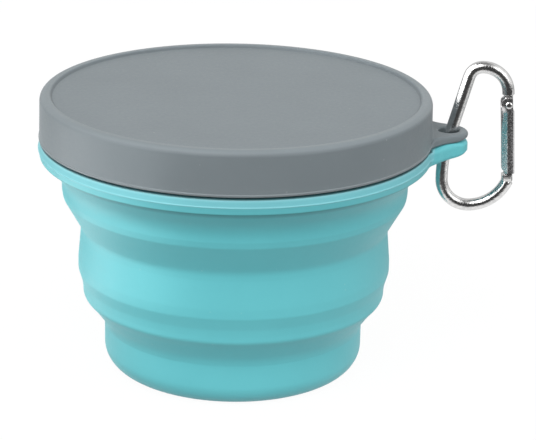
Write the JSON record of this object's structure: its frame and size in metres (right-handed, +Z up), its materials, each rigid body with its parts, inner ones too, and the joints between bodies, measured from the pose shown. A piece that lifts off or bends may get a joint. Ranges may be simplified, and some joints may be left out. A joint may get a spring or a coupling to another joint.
{
  "type": "collapsible bowl",
  "caption": "Round collapsible silicone bowl with two folding rings, a press-on lid, and a snap-gate carabiner through matching tabs on lid and rim.",
  "frame": {"origin": "centre of the foot's underside, on the bowl's axis", "axes": "+Z up along the bowl's axis, +X from the axis towards the tabs and the carabiner"},
  "size_m": [0.1527, 0.126, 0.1027],
  "materials": {
    "bowl_silicone": "matte turquoise silicone",
    "lid_silicone": "matte grey silicone",
    "polished_metal": "bright polished",
    "spring_steel": "drawn wire"
  },
  "bodies": {
    "base": {"base_cup": "bowl_silicone", "lower_fold": "bowl_silicone"},
    "middle": {"middle_ring": "bowl_silicone", "upper_fold": "bowl_silicone"},
    "rim": {"bowl_rim": "bowl_silicone"},
    "lid": {"lid": "lid_silicone"},
    "carabiner": {"carabiner_body": "polished_metal", "gate_rivet": "polished_metal"},
    "gate": {"carabiner_gate": "polished_metal", "gate_spring": "spring_steel", "gate_plunger": "spring_steel"}
  },
  "joints": [
    {"name": "lower_fold_slide", "type": "slide", "parent": "base", "child": "middle", "axis": [0, 0, -1], "range_m": [0, 0.0215], "deforming": ["lower_fold"]},
    {"name": "upper_fold_slide", "type": "slide", "parent": "middle", "child": "rim", "axis": [0, 0, -1], "range_m": [0, 0.0205], "deforming": ["upper_fold"]},
    {"name": "lid_lift", "type": "hinge", "parent": "rim", "child": "lid", "pos_m": [0.0742, 0, 0.0777], "axis": [0, 1, 0], "range_deg": [0, 28]},
    {"name": "carabiner_swivel", "type": "hinge", "parent": "rim", "child": "carabiner", "pos_m": [0.0679, 0, 0.07645], "axis": [0.2656, 0, 0.9641], "range_deg": [-85, 85]},
    {"name": "gate_hinge", "type": "hinge", "parent": "carabiner", "child": "gate", "pos_m": [0.08657, 0, 0.08889], "axis": [0, 1, 0], "range_deg": [0, 24], "stiffness_Nm_per_rad": 0.02, "springref_deg": -11.46}
  ]
}
